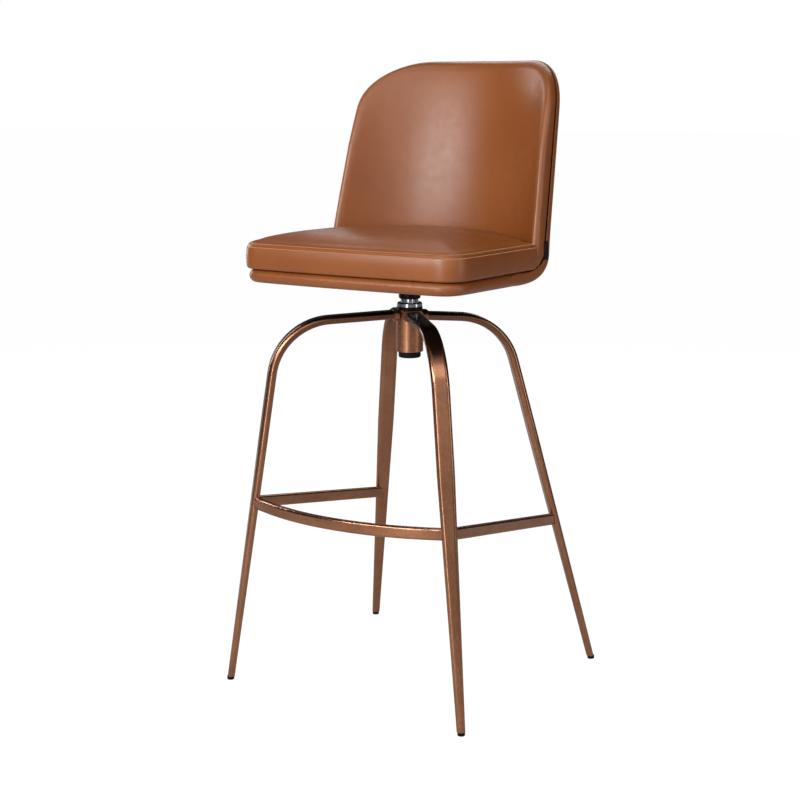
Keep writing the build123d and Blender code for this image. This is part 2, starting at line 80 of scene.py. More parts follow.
def round_axis(azimuth, elevation, distance, height):
    """A point seen from the swivel axis at that azimuth (0 is the stool's front) and elevation."""
    a, e = math.radians(azimuth), math.radians(elevation)
    out = Vector((math.sin(a) * math.cos(e), -math.cos(a) * math.cos(e), math.sin(e)))
    return Vector((0, AXIS_Y, height)) + out * distance


def make_camera():
    data = bpy.data.cameras.new("camera")
    data.lens = 74.93
    data.sensor_width = 36.0
    data.shift_x = -0.01205
    data.clip_end = 50
    data.dof.use_dof = False
    camera = bpy.data.objects.new("camera", data)
    bpy.context.scene.collection.objects.link(camera)
    camera.location = round_axis(33.551, 10.402, 2.9274, 0.49836)
    aim(camera, (0, AXIS_Y, 0.49836))
    bpy.context.scene.camera = camera


def softbox(name, azimuth, elevation, distance, size, power, target=(0, 0, 0.75), colour=(1, 1, 1)):
    data = bpy.data.lights.new(name, "AREA")
    data.shape = "RECTANGLE"
    data.size, data.size_y = size
    data.energy = power
    data.color = colour
    lamp = bpy.data.objects.new(name, data)
    bpy.context.scene.collection.objects.link(lamp)
    lamp.location = round_axis(azimuth, elevation, distance, 0.75)
    aim(lamp, (target[0], target[1] + AXIS_Y, target[2]))


def make_studio():
    """White paper behind and below, a dim room with softboxes in front."""
    world = bpy.data.worlds.new("studio")
    bpy.context.scene.world = world
    world.use_nodes = True
    tree = world.node_tree
    room = tree.nodes["Background"]
    room.inputs["Strength"].default_value = 1.0
    coords = tree.nodes.new("ShaderNodeTexCoord")
    facing = tree.nodes.new("ShaderNodeVectorMath")
    facing.operation = "DOT_PRODUCT"
    facing.inputs[1].default_value = FRONT_WAY
    tree.links.new(coords.outputs["Generated"], facing.inputs[0])
    share = tree.nodes.new("ShaderNodeMapRange")
    share.inputs["From Min"].default_value = -1.0
    tree.links.new(facing.outputs["Value"], share.inputs["Value"])
    sky = tree.nodes.new("ShaderNodeValToRGB")
    for element, (at, grey) in zip(
            (*sky.color_ramp.elements, sky.color_ramp.elements.new(0.45), sky.color_ramp.elements.new(0.78)),
            ((0.0, 0.03), (1.0, 0.30), (0.45, 0.035), (0.78, 0.17))):
        element.position = at
        element.color = (grey, grey, grey * 1.02, 1)
    tree.links.new(share.outputs["Result"], sky.inputs["Fac"])
    tree.links.new(sky.outputs["Color"], room.inputs["Color"])
    paper = tree.nodes.new("ShaderNodeBackground")
    paper.inputs["Color"].default_value = (1, 1, 1, 1)
    seen = tree.nodes.new("ShaderNodeLightPath")
    either = tree.nodes.new("ShaderNodeMixShader")
    tree.links.new(seen.outputs["Is Camera Ray"], either.inputs["Fac"])
    tree.links.new(room.outputs[0], either.inputs[1])
    tree.links.new(paper.outputs[0], either.inputs[2])
    tree.links.new(either.outputs[0], tree.nodes["World Output"].inputs["Surface"])
    softbox("key", -8, 20, 2.4, (1.7, 0.6), 45, target=(0, 0, 0.85))
    softbox("leg_strip", 8, -6, 2.4, (0.45, 0.9), 7, target=(0, 0, 0.45))
    softbox("front_fill", 42, 38, 3.0, (1.8, 1.2), 13)
    softbox("side", 98, 12, 2.4, (0.4, 1.9), 9)
    softbox("left_rim", -104, 14, 2.4, (0.4, 1.9), 14)
    softbox("back_fill", 205, 30, 3.2, (1.8, 1.4), 17)
    softbox("overhead", 20, 82, 2.2, (1.4, 1.4), 8)
    scene = bpy.context.scene
    scene.view_settings.view_transform = "Standard"
    scene.view_settings.look = "None"

    mesh = bpy.data.meshes.new("floor")
    s = 40.0
    mesh.from_pydata([(-s, -s, 0), (s, -s, 0), (s, s, 0), (-s, s, 0)], [], [(0, 1, 2, 3)])
    floor = bpy.data.objects.new("floor", mesh)
    scene.collection.objects.link(floor)
    floor.location.z = -0.0005
    m = bpy.data.materials.new("floor_paper")
    m.use_nodes = True
    tree = m.node_tree
    matt = tree.nodes["Principled BSDF"]
    matt.inputs["Base Color"].default_value = (0.55, 0.55, 0.55, 1)
    matt.inputs["Roughness"].default_value = 0.95
    glow = tree.nodes.new("ShaderNodeEmission")
    glow.inputs["Color"].default_value = (1, 1, 1, 1)
    glow.inputs["Strength"].default_value = 1.20
    seen = tree.nodes.new("ShaderNodeLightPath")
    share = tree.nodes.new("ShaderNodeMath")
    share.operation = "MULTIPLY"
    share.inputs[1].default_value = 0.8
    tree.links.new(seen.outputs["Is Camera Ray"], share.inputs[0])
    either = tree.nodes.new("ShaderNodeMixShader")
    tree.links.new(share.outputs[0], either.inputs["Fac"])
    tree.links.new(matt.outputs[0], either.inputs[1])
    tree.links.new(glow.outputs[0], either.inputs[2])
    below = tree.nodes.new("ShaderNodeNewGeometry")
    clear = tree.nodes.new("ShaderNodeBsdfTransparent")
    one_way = tree.nodes.new("ShaderNodeMixShader")
    tree.links.new(below.outputs["Backfacing"], one_way.inputs["Fac"])
    tree.links.new(either.outputs[0], one_way.inputs[1])
    tree.links.new(clear.outputs[0], one_way.inputs[2])
    tree.links.new(one_way.outputs[0], tree.nodes["Material Output"].inputs["Surface"])
    mesh.materials.append(m)


# ------------------------------------------------------------------ materials

class Nodes:
    """Short helpers for building one procedural material."""

    def __init__(self, name):
        self.material = bpy.data.materials.new(name)
        self.material.use_nodes = True
        self.tree = self.material.node_tree
        self.bsdf = self.tree.nodes["Principled BSDF"]
        self.coords = self.tree.nodes.new("ShaderNodeTexCoord").outputs["Object"]

    def link(self, a, b):
        self.tree.links.new(a, b)

    def set(self, **values):
        for key, value in values.items():
            self.bsdf.inputs[key.replace("_", " ")].default_value = value

    def scaled(self, x, y, z):
        n = self.tree.nodes.new("ShaderNodeMapping")
        n.inputs["Scale"].default_value = (x, y, z)
        self.link(self.coords, n.inputs["Vector"])
        return n.outputs["Vector"]

    def noise(self, scale, detail=4.0, rough=0.55, vector=None):
        n = self.tree.nodes.new("ShaderNodeTexNoise")
        n.inputs["Scale"].default_value = scale
        n.inputs["Detail"].default_value = detail
        n.inputs["Roughness"].default_value = rough
        self.link(vector if vector is not None else self.coords, n.inputs["Vector"])
        return n.outputs["Fac"]

    def cells(self, scale, feature="DISTANCE_TO_EDGE", vector=None):
        n = self.tree.nodes.new("ShaderNodeTexVoronoi")
        n.feature = feature
        n.inputs["Scale"].default_value = scale
        self.link(vector if vector is not None else self.coords, n.inputs["Vector"])
        return n.outputs["Distance"]

    def ramp(self, fac, stops):
        n = self.tree.nodes.new("ShaderNodeValToRGB")
        while len(n.color_ramp.elements) < len(stops):
            n.color_ramp.elements.new(0.5)
        for element, (at, colour) in zip(n.color_ramp.elements, stops):
            element.position = at
            element.color = (*colour, 1) if len(colour) == 3 else colour
        self.link(fac, n.inputs["Fac"])
        return n.outputs["Color"]

    def between(self, fac, low, high, from_low=0.0, from_high=1.0):
        n = self.tree.nodes.new("ShaderNodeMapRange")
        n.inputs["From Min"].default_value = from_low
        n.inputs["From Max"].default_value = from_high
        n.inputs["To Min"].default_value = low
        n.inputs["To Max"].default_value = high
        self.link(fac, n.inputs["Value"])
        return n.outputs["Result"]

    def mix(self, fac, a, b, kind="MIX"):
        n = self.tree.nodes.new("ShaderNodeMix")
        n.data_type = "RGBA"
        n.blend_type = kind
        for value, socket in ((fac, n.inputs[0]), (a, n.inputs[6]), (b, n.inputs[7])):
            if isinstance(value, bpy.types.NodeSocket):
                self.link(value, socket)
            elif isinstance(value, tuple):
                socket.default_value = (*value, 1)
            else:
                socket.default_value = value
        return n.outputs[2]

    def height(self):
        n = self.tree.nodes.new("ShaderNodeSeparateXYZ")
        self.link(self.coords, n.inputs[0])
        return n.outputs["Z"]

    def bump(self, heights):
        """Bumps laid over each other: (height socket, strength, depth in metres)."""
        normal = None
        for socket, strength, depth in heights:
            n = self.tree.nodes.new("ShaderNodeBump")
            n.inputs["Strength"].default_value = strength
            n.inputs["Distance"].default_value = depth
            self.link(socket, n.inputs["Height"])
            if normal is not None:
                self.link(normal, n.inputs["Normal"])
            normal = n.outputs["Normal"]
        self.link(normal, self.bsdf.inputs["Normal"])

    def finish(self, colour, roughness):
        self.link(colour, self.bsdf.inputs["Base Color"])
        self.link(roughness, self.bsdf.inputs["Roughness"])
        return self.material


def leather(name, tone):
    """Smooth cognac hide: fine grain, faint pull-up mottling, semi-gloss finish coat."""
    m = Nodes(name)
    base = (0.300 * tone, 0.083 * tone, 0.0135 * tone)
    deep = (0.235 * tone, 0.058 * tone, 0.0085 * tone)
    light = (0.345 * tone, 0.104 * tone, 0.0195 * tone)
    cloud = m.noise(5.5, 3.0, 0.5)
    fine = m.noise(60.0, 5.0, 0.6)
    colour = m.ramp(cloud, [(0.25, deep), (0.5, base), (0.78, light)])
    colour = m.mix(m.between(fine, 0.0, 0.32, 0.42, 0.8), colour, deep)
    pore = m.cells(720.0)
    grain = m.cells(330.0)
    colour = m.mix(m.between(pore, 0.22, 0.0, 0.0, 0.16), colour, (0.16 * tone, 0.040 * tone, 0.008 * tone))
    rough = m.between(fine, 0.36, 0.46, 0.3, 0.75)
    m.bump([
        (m.between(m.noise(9.0, 2.0, 0.5), 0, 1), 0.25, 0.0016),
        (m.between(grain, 0, 1, 0.0, 0.35), 0.10, 0.00022),
        (m.between(pore, 0, 1, 0.0, 0.22), 0.12, 0.00012),
    ])
    m.set(Coat_Weight=0.18, Coat_Roughness=0.36, IOR=1.5)
    return m.finish(colour, rough)


def thread():
    """Waxed sewing thread, a little lighter than the hide."""
    m = Nodes("thread")
    twist = m.noise(1800.0, 2.0, 0.5)
    colour = m.ramp(twist, [(0.3, (0.40, 0.19, 0.08)), (0.7, (0.60, 0.34, 0.18))])
    m.bump([(twist, 0.3, 0.0001)])
    return m.finish(colour, m.between(twist, 0.45, 0.65))


def bronze(name, stretch, seat_shade=0.72, matt=0.0):
    """Antique copper plate, brushed along the tube and lacquered; darker where the brush missed, with painted
    shade darkening the tubes towards the top, under the seat.
    """
    m = Nodes(name)
    lines = m.noise(1.0, 6.0, 0.7, m.scaled(*stretch))
    patch = m.noise(11.0, 4.0, 0.6)
    colour = m.ramp(lines, [
        (0.30, (0.300, 0.125, 0.062)), (0.50, (0.400, 0.175, 0.092)), (0.72, (0.520, 0.250, 0.142))])
    colour = m.mix(m.between(patch, 0.0, 0.5, 0.45, 0.75), colour, (0.21, 0.082, 0.040))
    # painted shade: the colour turns dark brown towards the top of the tubes, where they run under the seat
    top = m.between(m.height(), 0.0, seat_shade, 0.54, 0.655)
    colour = m.mix(top, colour, (0.095, 0.040, 0.024))
    rough = m.mix(0.5, m.between(lines, 0.16 + matt, 0.30 + matt, 0.3, 0.7),
                  m.between(patch, 0.16 + matt, 0.30 + matt, 0.3, 0.7))
    m.bump([(lines, 0.10, 0.00012), (patch, 0.06, 0.0008)])
    m.set(Metallic=1.0, Coat_Weight=0.22, Coat_Roughness=0.12)
    return m.finish(colour, rough)


def steel(name, dark, light, stretch, low, high):
    m = Nodes(name)
    lines = m.noise(1.0, 5.0, 0.65, m.scaled(*stretch))
    smear = m.noise(45.0, 3.0, 0.5)
    colour = m.mix(m.between(smear, 0.0, 0.4, 0.4, 0.8), m.ramp(lines, [(0.3, dark), (0.7, light)]), dark)
    m.bump([(lines, 0.06, 0.00008)])
    m.set(Metallic=1.0)
    return m.finish(colour, m.between(smear, low, high, 0.3, 0.7))


def dull(name, dark, light, scale, depth, low, high, gloss=0.5):
    """Moulded plastic, powder coat and the like: a fine even texture with slight mottling."""
    m = Nodes(name)
    grit = m.noise(scale, 3.0, 0.6)
    wear = m.noise(scale / 40.0, 4.0, 0.6)
    colour = m.mix(m.between(wear, 0.0, 0.6, 0.4, 0.8), m.ramp(grit, [(0.3, dark), (0.7, light)]), light)
    m.bump([(grit, 0.25, depth)])
    m.set(Specular_IOR_Level=gloss)
    return m.finish(colour, m.between(wear, low, high, 0.3, 0.7))


def plywood():
    m = Nodes("plywood")
    grain = m.noise(1.0, 6.0, 0.65, m.scaled(9.0, 130.0, 9.0))
    plies = m.noise(1.0, 1.0, 0.4, m.scaled(0.4, 0.4, 620.0))
    colour = m.ramp(grain, [
        (0.3, (0.42, 0.27, 0.14)), (0.55, (0.62, 0.45, 0.27)), (0.75, (0.72, 0.56, 0.37))])
    colour = m.mix(m.between(plies, 0.0, 0.45, 0.45, 0.6), colour, (0.33, 0.20, 0.10))
    m.bump([(grain, 0.2, 0.0002)])
    return m.finish(colour, m.between(grain, 0.55, 0.75))


def dust_cloth():
    """Black spun-bonded cloth, with its pattern of small heat-bonded points."""
    m = Nodes("dust_cloth")
    points = m.cells(520.0, "F1")
    fibres = m.noise(900.0, 5.0, 0.75)
    colour = m.ramp(fibres, [(0.3, (0.010, 0.010, 0.011)), (0.7, (0.034, 0.034, 0.036))])
    colour = m.mix(m.between(points, 0.5, 0.0, 0.0, 0.3), colour, (0.005, 0.005, 0.005))
    m.bump([(fibres, 0.5, 0.0002), (m.between(points, 0, 1, 0.0, 0.4), 0.6, 0.0003)])
    return m.finish(colour, m.between(fibres, 0.7, 0.95))


def tape():
    """Black woven ribbon."""
    m = Nodes("woven_tape")
    warp = m.tree.nodes.new("ShaderNodeTexWave")
    warp.bands_direction = "Y"
    warp.inputs["Scale"].default_value = 700.0
    m.link(m.coords, warp.inputs["Vector"])
    weft = m.tree.nodes.new("ShaderNodeTexWave")
    weft.bands_direction = "Z"
    weft.inputs["Scale"].default_value = 480.0
    m.link(m.coords, weft.inputs["Vector"])
    weave = m.mix(0.5, warp.outputs["Color"], weft.outputs["Color"])
    colour = m.ramp(weave, [(0.2, (0.003, 0.003, 0.003)), (0.8, (0.014, 0.014, 0.015))])
    m.bump([(weave, 0.5, 0.0002)])
    m.set(Specular_IOR_Level=0.15)
    return m.finish(colour, m.between(m.noise(300.0), 0.6, 0.85))


def give(material, *names):
    for name in names:
        mesh = NODES[name].data
        mesh.materials.clear()
        mesh.materials.append(material)


# ------------------------------------------------------------------ mesh helpers

def add_object(name, vertices, faces, material):
    mesh = bpy.data.meshes.new(name)
    mesh.from_pydata([tuple(v) for v in vertices], [], faces)
    mesh.update()
    bm = bmesh.new()
    bm.from_mesh(mesh)
    bmesh.ops.recalc_face_normals(bm, faces=bm.faces)
    bm.to_mesh(mesh)
    bm.free()
    mesh.polygons.foreach_set("use_smooth", [True] * len(mesh.polygons))
    obj = bpy.data.objects.new(name, mesh)
    bpy.context.scene.collection.objects.link(obj)
    mesh.materials.append(material)
    return obj


def apply_modifiers(obj):
    graph = bpy.context.evaluated_depsgraph_get()
    made = bpy.data.meshes.new_from_object(obj.evaluated_get(graph))
    obj.modifiers.clear()
    old = obj.data
    obj.data = made
    bpy.data.meshes.remove(old)
    obj.data.polygons.foreach_set("use_smooth", [True] * len(obj.data.polygons))


def points_of(mesh):
    flat = np.zeros(len(mesh.vertices) * 3, np.float32)
    mesh.vertices.foreach_get("co", flat)
    return flat.reshape(-1, 3).astype(float)


def put_points(mesh, points):
    mesh.vertices.foreach_set("co", points.astype(np.float32).ravel())
    mesh.update()


def section_loop(node, z):
    """Longest closed outline of a CAD node at height z, as ordered plan points."""
    bm = bmesh.new()
    bm.from_mesh(NODES[node].data)
    bmesh.ops.remove_doubles(bm, verts=bm.verts, dist=1e-6)
    cut = bmesh.ops.bisect_plane(
        bm, geom=bm.verts[:] + bm.edges[:] + bm.faces[:], plane_co=(0, 0, z), plane_no=(0, 0, 1))
    edges = [g for g in cut["geom_cut"] if isinstance(g, bmesh.types.BMEdge)]
    links = {}
    for e in edges:
        a, b = e.verts
        links.setdefault(a, []).append(b)
        links.setdefault(b, []).append(a)
    loops, left = [], set(links)
    while left:
        start = min(left, key=lambda v: (v.co.x, v.co.y))
        loop, here, before = [], start, None
        while here is not None and here in left:
            loop.append((here.co.x, here.co.y))
            left.discard(here)
            ahead = [v for v in links[here] if v is not before and v in left]
            before, here = here, (ahead[0] if ahead else None)
        loops.append(np.array(loop))
    bm.free()
    return max(loops, key=lambda l: np.ptp(l[:, 0]) * np.ptp(l[:, 1]) + 1e-6 * len(l))


def resample(points, count, closed=True):
    p = np.vstack([points, points[:1]]) if closed else np.asarray(points)
    run = np.concatenate([[0], np.cumsum(np.linalg.norm(np.diff(p, axis=0), axis=1))])
    at = np.linspace(0, run[-1], count + 1)[:-1] if closed else np.linspace(0, run[-1], count)
    return np.stack([np.interp(at, run, p[:, k]) for k in range(p.shape[1])], axis=1)


def soften(points, sigma):
    """Gaussian smoothing round a closed outline of evenly spaced points; sigma in points."""
    reach = int(sigma * 3)
    weights = np.exp(-0.5 * (np.arange(-reach, reach + 1) / sigma) ** 2)
    weights /= weights.sum()
    out = np.zeros_like(points)
    for k, w in zip(range(-reach, reach + 1), weights):
        out += w * np.roll(points, k, axis=0)
    return out


def four_sides(outline, corners, n):
    """Outline resampled to n points a side, its corner k at index k * n."""
    index = [int(np.argmin(np.linalg.norm(outline - np.array(c), axis=1))) for c in corners]
    forward = sum((index[(k + 1) % 4] - index[k]) % len(outline) < len(outline) / 2 for k in range(4))
    if forward < 2:
        outline = outline[::-1]
        index = [len(outline) - 1 - i for i in index]
    sides = []
    for k in range(4):
        a, b = index[k], index[(k + 1) % 4]
        run = np.roll(outline, -a, axis=0)[: (b - a) % len(outline) + 1]
        sides.append(resample(run, n + 1, closed=False)[:-1])
    return np.vstack(sides)


def distance_to(outline, points):
    """Distance of each point to a closed outline."""
    fine = resample(outline, 3000)
    out = np.zeros(len(points))
    for k in range(0, len(points), 2000):
        part = points[k:k + 2000]
        out[k:k + 2000] = np.sqrt(((part[:, None] - fine[None]) ** 2).sum(2).min(1))
    return out


def grid_in(outline, n, edge=0.45):
    """Plan points of an (n+1)-square grid stretched over a four-sided outline, closer together at its rim."""
    centre = outline.mean(0)
    t = np.linspace(-1, 1, n + 1)
    g = (1 - edge) * t + edge * np.sin(t * np.pi / 2)
    loop = np.vstack([outline, outline[:1]])
    made = np.zeros(((n + 1) ** 2, 2))
    for i in range(n + 1):
        for j in range(n + 1):
            u, v = t[i], t[j]
            r = max(abs(u), abs(v))
            k = i * (n + 1) + j
            if r < 1e-9:
                made[k] = centre
                continue
            a, b = u / r, v / r
            if b <= -1 + 1e-9:
                p = (a + 1) / 2 * n
            elif a >= 1 - 1e-9:
                p = n + (b + 1) / 2 * n
            elif b >= 1 - 1e-9:
                p = 2 * n + (1 - a) / 2 * n
            else:
                p = 3 * n + (1 - b) / 2 * n
            p %= 4 * n
            low = int(p)
            rim = loop[low] + (loop[low + 1] - loop[low]) * (p - low)
            reach = abs(g[i]) if abs(u) >= abs(v) else abs(g[j])
            made[k] = centre + (rim - centre) * reach
    return made


def rim_indices(n):
    """Grid indices round the rim, in the outline's order."""
    row = n + 1
    rim = [i * row for i in range(n)] + [n * row + j for j in range(n)]
    return rim + [(n - i) * row + n for i in range(n)] + [n - j for j in range(n)]


def closed_pad(name, n, top, bottom, band, material):
    """Closed form: a grid for each face and band loops between. top and bottom hold 3-D points of the
    plan grid, band a list of 3-D loops from top rim to bottom rim, without the rims themselves."""
    count = (n + 1) ** 2
    rim = rim_indices(n)
    vertices = [tuple(p) for p in top]
    faces = []
    for i in range(n):
        for j in range(n):
            a = i * (n + 1) + j
            faces.append((a, a + n + 1, a + n + 2, a + 1))
    loops = [rim]
    for loop in band:
        loops.append([len(vertices) + k for k in range(4 * n)])
        vertices += [tuple(p) for p in loop]
    base = len(vertices)
    vertices += [tuple(p) for p in bottom]
    loops.append([base + k for k in rim])
    for i in range(n):
        for j in range(n):
            a = base + i * (n + 1) + j
            faces.append((a, a + 1, a + n + 2, a + n + 1))
    for upper, lower in zip(loops, loops[1:]):
        for k in range(4 * n):
            m = (k + 1) % (4 * n)
            faces.append((upper[k], upper[m], lower[m], lower[k]))
    obj = add_object(name, vertices, faces, material)
    return obj, loops, count


def ironed(mesh, step, passes):
    """Movement of every vertex averaged with its neighbours', so that a taut hide keeps no creases."""
    edges = np.zeros(len(mesh.edges) * 2, np.int32)
    mesh.edges.foreach_get("vertices", edges)
    a, b = edges.reshape(-1, 2).T
    near = np.bincount(np.concatenate([a, b]), minlength=len(step))[:, None]
    for _ in range(passes):
        total = np.zeros_like(step)
        np.add.at(total, a, step[b])
        np.add.at(total, b, step[a])
        step = 0.5 * step + 0.5 * total / near
    return step


SWELL_FRAMES = 20


def swell(obj, pressure, cap, hold, passes, tension=18.0):
    """Cloth simulation of a stuffed cover under pressure, held where hold is 1, ironed, then capped."""
    rest = points_of(obj.data)
    group = obj.vertex_groups.new(name="hold")
    for k in np.nonzero(hold > 0)[0]:
        group.add([int(k)], float(hold[k]), "REPLACE")
    cloth = obj.modifiers.new("cloth", "CLOTH")
    s = cloth.settings
    s.quality = 6
    s.mass = 0.35
    s.tension_stiffness = tension
    s.compression_stiffness = tension
    s.shear_stiffness = tension * 0.6
    s.bending_stiffness = 4.0
    s.use_pressure = True
    s.uniform_pressure_force = pressure
    s.effector_weights.gravity = 0
    s.vertex_group_mass = "hold"
    s.pin_stiffness = 1.0
    cloth.collision_settings.use_collision = False
    cloth.collision_settings.use_self_collision = False
    cloth.point_cache.frame_start = 1
    cloth.point_cache.frame_end = SWELL_FRAMES
    for f in range(1, SWELL_FRAMES + 1):
        bpy.context.scene.frame_set(f)
    graph = bpy.context.evaluated_depsgraph_get()
    moved = points_of(obj.evaluated_get(graph).data)
    obj.modifiers.remove(cloth)
    bpy.context.scene.frame_set(1)
    step = ironed(obj.data, moved - rest, passes) * (1 - hold)[:, None]
    size = np.linalg.norm(step, axis=1)
    step *= (cap * np.tanh(size / cap) / np.maximum(size, 1e-9))[:, None]
    put_points(obj.data, rest + step)


def tube_along(path, radius, sides=8, closed=False):
    """Vertices and faces of a round bead along 3-D points."""
    p = np.asarray(path, float)
    count = len(p)
    ahead = np.roll(p, -1, 0) - np.roll(p, 1, 0)
    if not closed:
        ahead[0], ahead[-1] = p[1] - p[0], p[-1] - p[-2]
    ahead /= np.linalg.norm(ahead, axis=1)[:, None]
    up = np.array([0, 0, 1.0])
    vertices, faces = [], []
    for k in range(count):
        side = np.cross(ahead[k], up)
        if np.linalg.norm(side) < 1e-3:
            side = np.cross(ahead[k], [1.0, 0, 0])
        side /= np.linalg.norm(side)
        top = np.cross(side, ahead[k])
        for q in range(sides):
            a = 2 * math.pi * q / sides
            vertices.append(p[k] + radius * (math.cos(a) * side + math.sin(a) * top))
    spans = count if closed else count - 1
    for k in range(spans):
        m = (k + 1) % count
        for q in range(sides):
            r = (q + 1) % sides
            faces.append((k * sides + q, k * sides + r, m * sides + r, m * sides + q))
    if not closed:
        faces.append(tuple(range(sides - 1, -1, -1)))
        faces.append(tuple((count - 1) * sides + q for q in range(sides)))
    return vertices, faces


STITCH_POINTS = 30              # five rings of six
STITCH_PITCH, STITCH_LENGTH, STITCH_RADIUS = 0.0048, 0.0036, 0.00062


def stitches(name, path, normals, material):
    """Short plump stitches laid along a line of 3-D points, each sunk a little into the hide."""
    p = np.asarray(path, float)
    q = np.asarray(normals, float)
    run = np.concatenate([[0], np.cumsum(np.linalg.norm(np.diff(p, axis=0), axis=1))])
    count = int(run[-1] / STITCH_PITCH)
    vertices, faces = [], []
    for k in range(count):
        middle = (k + 0.5) * run[-1] / count
        spots = [middle + (f - 0.5) * STITCH_LENGTH for f in (0.0, 0.2, 0.5, 0.8, 1.0)]
        line = np.stack([np.interp(spots, run, p[:, c]) for c in range(3)], 1)
        out = np.stack([np.interp([middle], run, q[:, c]) for c in range(3)], 1)[0]
        out /= np.linalg.norm(out)
        ahead = line[-1] - line[0]
        ahead /= np.linalg.norm(ahead)
        side = np.cross(ahead, out)
        base = len(vertices)
        for spot, lift, girth in zip(line, (-0.9, 0.1, 0.45, 0.1, -0.9), (0.55, 0.95, 1.0, 0.95, 0.55)):
            for s in range(6):
                a = 2 * math.pi * s / 6
                about = math.cos(a) * side + math.sin(a) * out
                vertices.append(spot + out * (lift * STITCH_RADIUS) + STITCH_RADIUS * girth * about)
        for f in range(4):
            for s in range(6):
                r = (s + 1) % 6
                near, far = base + f * 6, base + (f + 1) * 6
                faces.append((near + s, near + r, far + r, far + s))
        faces.append(tuple(base + s for s in range(5, -1, -1)))
        faces.append(tuple(base + 24 + s for s in range(6)))
    return add_object(name, vertices, faces, material)


# ------------------------------------------------------------------ seat cushion

FRONT_FLARE = 0.017             # share by which the stuffing widens the cushion at its front


def make_cushion(hide, sewing):
    low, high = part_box("seat_cushion")
    n = 92
    outline = resample(section_loop("seat_cushion", (low.z + high.z) / 2), 1600)
    outline = soften(outline, 5.0)
    front, rear = low.y, high.y
    corners = [(low.x, front), (high.x, front), (high.x * 0.93, rear - 0.085), (low.x * 0.93, rear - 0.085)]
    outline = four_sides(outline, corners, n)
    outline[:, 0] *= 1 + FRONT_FLARE * np.clip((-outline[:, 1] - 0.02) / 0.15, 0, 1)
    centre = outline.mean(0)
    out = outline - centre
    ahead = np.roll(outline, -1, 0) - np.roll(outline, 1, 0)
    normal = np.stack([ahead[:, 1], -ahead[:, 0]], 1)
    normal /= np.linalg.norm(normal, axis=1)[:, None]
    normal *= np.sign((normal * out).sum(1))[:, None]
    normal = soften(normal, 2.0)
    normal /= np.linalg.norm(normal, axis=1)[:, None]

    seam_z = low.z + 0.0412
    floor_z = low.z + 0.0004
    behind = np.clip((outline[:, 1] - (front + 0.25)) / 0.06, 0, 1)     # where the back hides the side
    draw_in = 0.0034

    inner = outline - normal * draw_in
    plan = grid_in(inner, n, 0.8)
    d = distance_to(inner, plan) / MM
    top = np.column_stack([plan, seam_z + surface_rise(d) * MM])
    under = grid_in(outline - normal * 0.005, n)
    bottom = np.column_stack([under, np.full(len(under), floor_z)])

    def ring(outward, z):
        return np.column_stack([outline + normal * (outward * MM), np.full(len(outline), z)])

    band = [ring(-4.3, seam_z - 0.0007), ring(-3.0, seam_z - 0.0018), ring(-1.4, seam_z - 0.0042)]
    height = seam_z - 0.0042 - (floor_z + 0.005)
    bulge = ((0.12, -0.8), (0.26, -0.1), (0.42, 0.25), (0.58, 0.3), (0.74, 0.1), (0.88, -0.35))
    for share, outward in bulge:
        band.append(ring(outward, seam_z - 0.0042 - share * height))
    for angle in (0, 22, 45, 68, 85):
        a = math.radians(angle)
        band.append(ring(-0.7 - 4.3 * (1 - math.cos(a)), floor_z + 0.005 * (1 - math.sin(a))))
    obj, loops, count = closed_pad("cushion_cover", n, top, bottom, band, hide)
    total = len(obj.data.vertices)
    hold = np.zeros(total)
    for loop in loops[:3]:
        hold[loop] = 1.0
    for loop in loops[-4:]:
        hold[loop] = 1.0
    hold[total - count:] = 1.0
    swell(obj, 3.2, 0.0030, hold, 40)
    settle(obj, loops, behind)
    sub = obj.modifiers.new("finer", "SUBSURF")
    sub.levels = sub.render_levels = 1
    apply_modifiers(obj)

    def lift(line, dz):
        return np.column_stack([outline + normal * (line * MM), np.full(len(outline), dz)])

    keep = np.nonzero(outline[:, 1] < rear - 0.10)[0]
    start = int(np.argmax(np.diff(np.concatenate([keep, [keep[0] + len(outline)]]))))
    order = np.roll(keep, -(start + 1))
    up = np.column_stack([normal * 0.45, np.full(len(outline), 0.89)])
    side = np.column_stack([normal, np.full(len(outline), 0.08)])
    above = lift(-draw_in / MM - 3.2, seam_z + surface_rise(3.2) * MM)
    below = lift(-1.75, seam_z - 0.0036)
    rows = [
        stitches(name, line[order], out[order], sewing)
        for name, line, out in (("cushion_stitch_upper", above, up), ("cushion_stitch_lower", below, side))]
    for row in rows:
        cling(row, obj)
    return [obj], rows


def surface_rise(d):
    """Height of the cushion's top over its seam, d mm in from the seam."""
    shoulder = 13.5 * (1 - (1 - np.clip(d / 62, 0, 1)) ** 2.1)
    crown = 10.0 * (1 - np.exp(-d / 95))
    return shoulder + crown + 1.6 * np.exp(-((d - 9) / 7) ** 2)


def settle(obj, loops, behind):
    """Small sewn-in ripples near the seam, the same every run."""
    points = points_of(obj.data)
    for loop in loops[1:4]:
        for k, index in enumerate(loop):
            wave = math.sin(k * 0.9) * 0.5 + math.sin(k * 0.37 + 1.3) * 0.5
            points[index, 2] += 0.00022 * wave * (1 - behind[k])
    put_points(obj.data, points)


def cling(stitch, cover):
    """Shifts every stitch onto the cover's finished surface."""
    tree = BVHTree.FromPolygons(
        [v.co.copy() for v in cover.data.vertices], [tuple(p.vertices) for p in cover.data.polygons])
    points = points_of(stitch.data)
    for k in range(0, len(points), STITCH_POINTS):
        middle = Vector(points[k:k + STITCH_POINTS].mean(0))
        spot, normal = tree.find_nearest(middle)[:2]
        if spot is not None:
            points[k:k + STITCH_POINTS] += np.array(spot + normal * 0.00008 - middle)
    put_points(stitch.data, points)


# ------------------------------------------------------------------ shell and back, in mm about the axis

